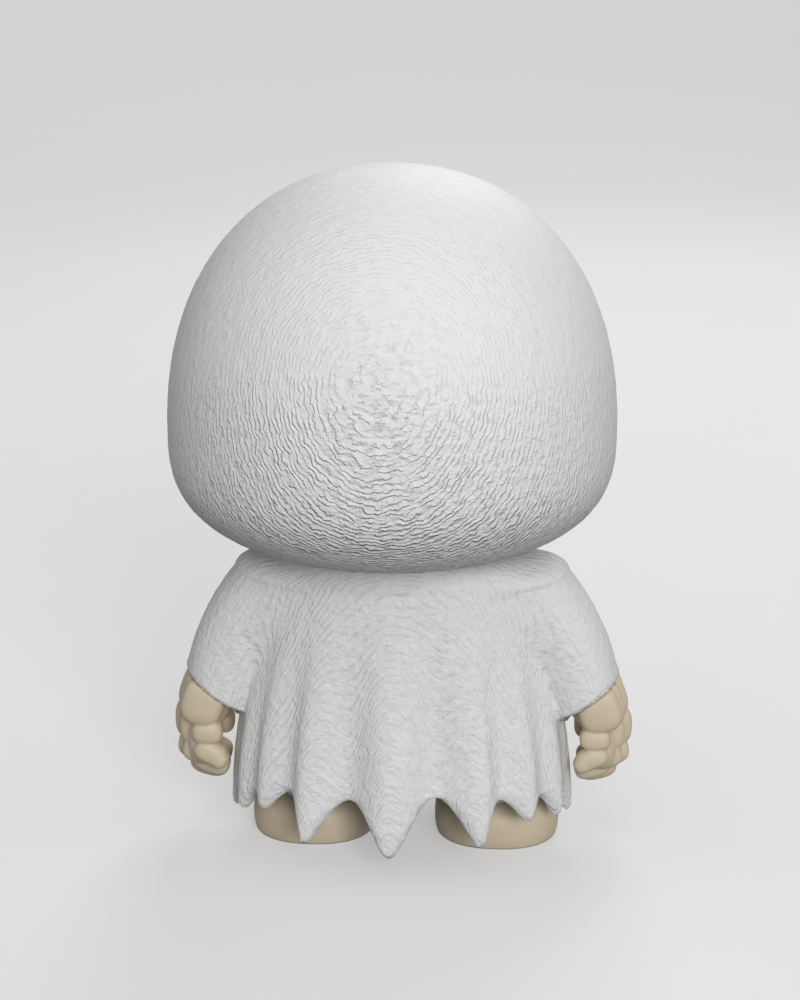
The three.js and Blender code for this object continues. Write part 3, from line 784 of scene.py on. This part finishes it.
for node, side in (("foot_left", 1), ("foot_right", -1)):
    foot = lofted(f"{node}_cast", foot_rings(side))
    square = np.array([[-1, -1], [1, -1], [1, 1], [-1, 1]]) * hole_half + [side * hole_out, hole_middle]
    bar = np.stack([np.concatenate([square, np.full((4, 1), z)], axis=1) for z in hole_heights])
    carved(foot, lofted("cutter", bar))
    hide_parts(node)
    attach(foot, "robe")
    print(node, len(foot.data.polygons), "faces")

# %% [markdown]
# ## Shader sums
# A finish is mostly arithmetic on patterns. This class wraps a socket, so that a sum written in
# Python adds the Math nodes for it. One method of the finish adds every other kind of node.
# %% Socket arithmetic


class Signal:
    """A shader socket that can be added, multiplied and so on."""

    def __init__(self, finish, socket):
        self.finish, self.socket = finish, socket

    def sum(self, operation, *values):
        """A Math node of an operation, on sockets and numbers."""
        return self.finish.node("ShaderNodeMath", {"operation": operation}, dict(enumerate(values)))

    def at_most(self, limit):
        return self.sum("MINIMUM", self, limit)

    def within(self, low, high):
        return self.finish.node("ShaderNodeClamp", sockets={"Value": self, "Min": low, "Max": high})

    def __add__(self, other):
        return self.sum("ADD", self, other)

    def __sub__(self, other):
        return self.sum("SUBTRACT", self, other)

    def __rsub__(self, other):
        return self.sum("SUBTRACT", other, self)

    def __mul__(self, other):
        return self.sum("MULTIPLY", self, other)

    def __truediv__(self, other):
        return self.sum("DIVIDE", self, other)

    __radd__, __rmul__ = __add__, __mul__


class Finish:
    """A material and its node tree."""

    def __init__(self, name, **plain):
        self.material = bpy.data.materials.new(name)
        self.material.use_nodes = True
        self.tree = self.material.node_tree
        self.surface = self.tree.nodes["Principled BSDF"]
        for socket, value in plain.items():
            self.surface.inputs[socket.replace("_", " ").title()].default_value = value

    def node(self, kind, settings=None, sockets=None, output=0):
        """Adds a node, sets it up, and links or sets its sockets."""
        node = self.tree.nodes.new(kind)
        for name, value in (settings or {}).items():
            if name == "stops":
                for stop, (place, colour) in zip(node.color_ramp.elements, value):
                    stop.position, stop.color = place, colour
            else:
                setattr(node, name, value)
        for key, value in (sockets or {}).items():
            if isinstance(value, Signal):
                self.tree.links.new(value.socket, node.inputs[key])
            else:
                node.inputs[key].default_value = value
        return Signal(self, node.outputs[output])

    def set(self, **signals):
        """Links signals to the surface's own sockets."""
        for socket, signal in signals.items():
            self.tree.links.new(signal.socket, self.surface.inputs[socket.replace("_", " ").title()])

    def attribute(self, name):
        return self.node("ShaderNodeAttribute", {"attribute_name": name}, output="Fac")

    def noise(self, per_metre, detail=2.0, stretch=(1, 1, 1)):
        """Blender's noise on Object coordinates, with a stretch along each axis."""
        place = self.node("ShaderNodeTexCoord", output="Object")
        place = self.node("ShaderNodeMapping", sockets={"Vector": place, "Scale": stretch})
        sockets = {"Vector": place, "Scale": per_metre, "Detail": detail}
        return self.node("ShaderNodeTexNoise", sockets=sockets, output="Fac")

    def two_tones(self, share, first, second):
        mix = self.node("ShaderNodeMix", {"data_type": "RGBA"})
        for key, value in ((0, share), (6, first), (7, second)):
            if isinstance(value, Signal):
                self.tree.links.new(value.socket, mix.socket.node.inputs[key])
            else:
                mix.socket.node.inputs[key].default_value = value
        return Signal(self, mix.socket.node.outputs[2])

    def relief(self, height):
        """A bump whose height is in metres."""
        sockets = {"Height": height, "Distance": 1.0, "Strength": 1.0}
        return self.node("ShaderNodeBump", sockets=sockets)

    def coat(self, *pieces):
        """Gives pieces this finish alone."""
        for piece in pieces:
            piece.data.materials.clear()
            piece.data.materials.append(self.material)


# %% [markdown]
# ## White skin
# The count of slices becomes ledges in three moves. Its fraction climbs from 0 to 1 over each slice.
# The share of the slice that drops back is the width of a ledge times the pace, which is the number
# of slices in a millimetre. The smaller of the climb and the drop is then a lopsided tooth, which
# noise makes stronger and weaker in patches. Fibres join it where the slices crowd together, and
# nicks where they lie far apart. The grooves between the ledges and the nicks are painted darker,
# as painted shade where little light reaches into them, and the lower part of the head is painted
# darker too, as painted shade under the jaw. Heights of the relief are in metres.
# %% White finish
ledge_width = 0.27
fibre_height, bead_height, grain_height, nick_depth = 0.0003, 0.0003, 0.00004, 0.0004
white = Finish("white_stepped_skin", roughness=0.6)
steps, pace, ledge, wander, skin = (
    white.attribute(name) for name in ("steps", "pace", "ledge", "wander", "skin")
)
ragged = white.noise(750.0, 3.0)
count = steps + (ragged - 0.5) * wander * 1.7
climb = count.sum("FRACT", count)
drop_share = (pace * ledge_width).within(0.08, 0.5)
tooth = climb.sum("SMOOTH_MIN", climb / (1 - drop_share), (1 - climb) / drop_share, 0.12)
patchy = white.noise(380.0, 2.0, stretch=(1.0, 2.6, 1.0))
spread = {"From Min": 0.38, "From Max": 0.58, "To Min": 0.2, "To Max": 1.0}
strength = white.node("ShaderNodeMapRange", sockets={"Value": patchy, **spread})
fibres = white.noise(350.0, 3.0, stretch=(1.0, 3.8, 1.0))
beads = white.noise(640.0, 2.0)
grain = white.noise(3200.0, 1.0)
specks = (white.noise(420.0, 2.0, stretch=(1.0, 1.0, 2.4)) - 0.55) * 12.0
nicks = specks.within(0.0, 1.0) * (1 - (pace * 0.9).at_most(1.0))
height = tooth * strength * ledge + fibres * pace * fibre_height + beads * bead_height
height = (height + grain * grain_height - nicks * wander * nick_depth) * skin
apart = 1 - (pace * 0.36).at_most(1.0)
# Painted shade: the lower part of the head is painted darker for the shade under the jaw, and its grooves
# darker still.
jaw_shade = (skin - 1).within(0.0, 1.0)
groove_shade = (1 - (tooth * 2.5).at_most(1.0)) * strength * (apart * 0.35 + jaw_shade)
crevice_shade = groove_shade + nicks * wander * 1.3
# Painted shade: grooves, nicks and the lower head mix towards the dark grey.
tone = white.two_tones(crevice_shade * skin + jaw_shade * 0.3, (0.76, 0.76, 0.765, 1), (0.4, 0.4, 0.405, 1))
white.set(base_color=tone, normal=white.relief(height))
white.coat(head, robe, panel)

# %% [markdown]
# The hands and feet are of cream plastic with a smooth matt face. Two tones of cream mix in wide
# soft patches, and fine pores break up the highlights.
# %% Cream finish
cream = Finish("cream_skin", roughness=0.55)
mottle = cream.noise(140.0, 3.0)
pores = cream.noise(2600.0, 2.0)
tone = cream.two_tones(mottle, (0.60, 0.505, 0.36, 1), (0.67, 0.575, 0.43, 1))
cream.set(base_color=tone, normal=cream.relief(pores * 0.00003 + mottle * 0.0001))
cream.coat(*fists.values(), bpy.data.objects["foot_left_cast"], bpy.data.objects["foot_right_cast"])

# %% [markdown]
# The eyes and the mouth are glossy black. The joints inside keep the CAD's meshes, in plain grey.
# %% Black and grey finishes
black = Finish("black_gloss", roughness=0.08, coat_weight=0.3)
specks = black.noise(400.0, 2.0)
black.set(base_color=black.two_tones(specks, (0.004, 0.004, 0.005, 1), (0.01, 0.01, 0.012, 1)))
black.coat(*(bpy.data.objects[f"{node}_gloss"] for node in face_ovals))

grey = Finish("joint_plastic", roughness=0.4)
flow = grey.noise(300.0, 3.0)
grey.set(
    base_color=grey.two_tones(flow, (0.48, 0.49, 0.5, 1), (0.58, 0.59, 0.6, 1)),
    normal=grey.relief(grey.noise(1800.0, 2.0) * 0.00002),
)
for node in ("neck_spool", "wrist_peg_left", "wrist_peg_right", "leg_peg_left", "leg_peg_right"):
    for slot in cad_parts[node].material_slots:
        slot.material = grey.material

# %% [markdown]
# ## Studio
# A pale sheet of paper lies under the figurine and curves up into a wall on the face's side. Rays
# from the camera see it pale, also when they come by way of gloss or glass. For the light that
# bounces off it the paper is dark, so it throws little light back on the white skin. With the
# distance the paper's colour gives way to a glow of its own, because the lamps light the wall only
# weakly.
# %% Floor and backdrop
paper = Finish("pale_paper", roughness=0.85, emission_strength=1.0)
fibres = paper.noise(20.0, 3.0)
kinds = ("Camera", "Glossy", "Transmission")
rays = [paper.node("ShaderNodeLightPath", output=f"Is {kind} Ray") for kind in kinds]
seen = (rays[0] + rays[1] + rays[2]).at_most(1.0)
place = paper.node("ShaderNodeTexCoord", output="Object")
along = paper.node("ShaderNodeSeparateXYZ", sockets={"Vector": place}, output="Y")
away = along.sum("ABSOLUTE", along)
far = paper.node("ShaderNodeMapRange", sockets={"Value": away, "From Min": 0.35, "From Max": 1.3})
sheet = paper.two_tones(fibres, (0.41, 0.41, 0.407, 1), (0.43, 0.43, 0.427, 1))
sheet = paper.two_tones(far, sheet, (0.12, 0.12, 0.12, 1))
glow = paper.two_tones(far, (0.36, 0.36, 0.36, 1), (0.58, 0.58, 0.58, 1))
paper.set(
    base_color=paper.two_tones(seen, (0.05, 0.05, 0.05, 1), sheet),
    emission_color=paper.two_tones(seen, (0, 0, 0, 1), glow),
)
paper_reach, bend_start, bend_radius = 3000.0, 900.0, 600.0
below_soles = 0.02
bend = np.linspace(0, np.pi / 2, 24)
run = np.concatenate(
    [[paper_reach], -bend_start - bend_radius * np.sin(bend), [-bend_start - bend_radius]]
)
lift = np.concatenate([[0.0], bend_radius * (1 - np.cos(bend)), [paper_reach]])
sweep = np.zeros((len(run), 2, 3))
sweep[:, :, 0] = [-paper_reach, paper_reach]
sweep[:, :, 1] = run[:, None]
sweep[:, :, 2] = lift[:, None] - below_soles
corners = np.arange(2 * (len(run) - 1)).reshape(-1, 2)
sweep_faces = np.stack([corners[:, 0], corners[:, 1], corners[:, 1] + 2, corners[:, 0] + 2], axis=1)
floor = new_piece("paper_sweep", sweep.reshape(-1, 3), sweep_faces.tolist())
floor.data.materials.append(paper.material)

# %% [markdown]
# The main lamp is a large soft one behind the camera and to its right. A weak one hangs above, and
# a third lights the face. White light from all round the room gives the rest.
# %% Lamps and room
lamp_aim = np.array([0, 0, 0.12])


def lamp(name, azimuth, elevation, distance, size, power):
    """A square area lamp, in metres and watts, turned towards the figurine. The azimuth is counted
    in degrees from straight behind the figurine, to the camera's right."""
    swing, rise = np.radians(azimuth), np.radians(elevation)
    away = np.array([-np.sin(swing) * np.cos(rise), np.cos(swing) * np.cos(rise), np.sin(rise)])
    light = bpy.data.lights.new(name, "AREA")
    light.size, light.energy = size, power
    holder = bpy.data.objects.new(name, light)
    holder.location = lamp_aim + away * distance
    holder.rotation_euler = (Vector(lamp_aim) - holder.location).to_track_quat("-Z", "Y").to_euler()
    bpy.context.scene.collection.objects.link(holder)


lamp("front_softbox", 18, 20, distance=1.2, size=0.5, power=8.5)
lamp("top_softbox", 0, 80, distance=1.1, size=0.7, power=1.2)
lamp("face_card", 170, 35, distance=0.95, size=0.5, power=4.0)
room = bpy.data.worlds.new("room")
room.use_nodes = True
room.node_tree.nodes["Background"].inputs["Color"].default_value = (1, 1, 1, 1)
room.node_tree.nodes["Background"].inputs["Strength"].default_value = 0.48
scene = bpy.context.scene
scene.world = room
scene.view_settings.view_transform = "Standard"

# %% [markdown]
# ## Camera
# The photograph is taken from behind and a little above, through a long lens. A line from the middle
# of the figurine back to the camera gives its place.
# %% Camera
lens = bpy.data.cameras.new("photo_camera")
lens.lens = 85
lens.sensor_fit = "VERTICAL"
lens.sensor_height = 36
camera = bpy.data.objects.new("photo_camera", lens)
rise, swing = np.radians(18), np.radians(-3.5)
back = Vector((np.sin(swing) * np.cos(rise), np.cos(swing) * np.cos(rise), np.sin(rise)))
target = Vector((0.0005, 0, 0.09318))
distance = 0.61
camera.location = target + back * distance
camera.rotation_euler = (-back).to_track_quat("-Z", "Y").to_euler()
scene.collection.objects.link(camera)
scene.camera = camera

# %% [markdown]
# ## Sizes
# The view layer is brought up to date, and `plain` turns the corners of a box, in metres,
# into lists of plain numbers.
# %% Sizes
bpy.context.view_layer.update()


def plain(corners):
    return [[float(number) for number in corner] for corner in corners]
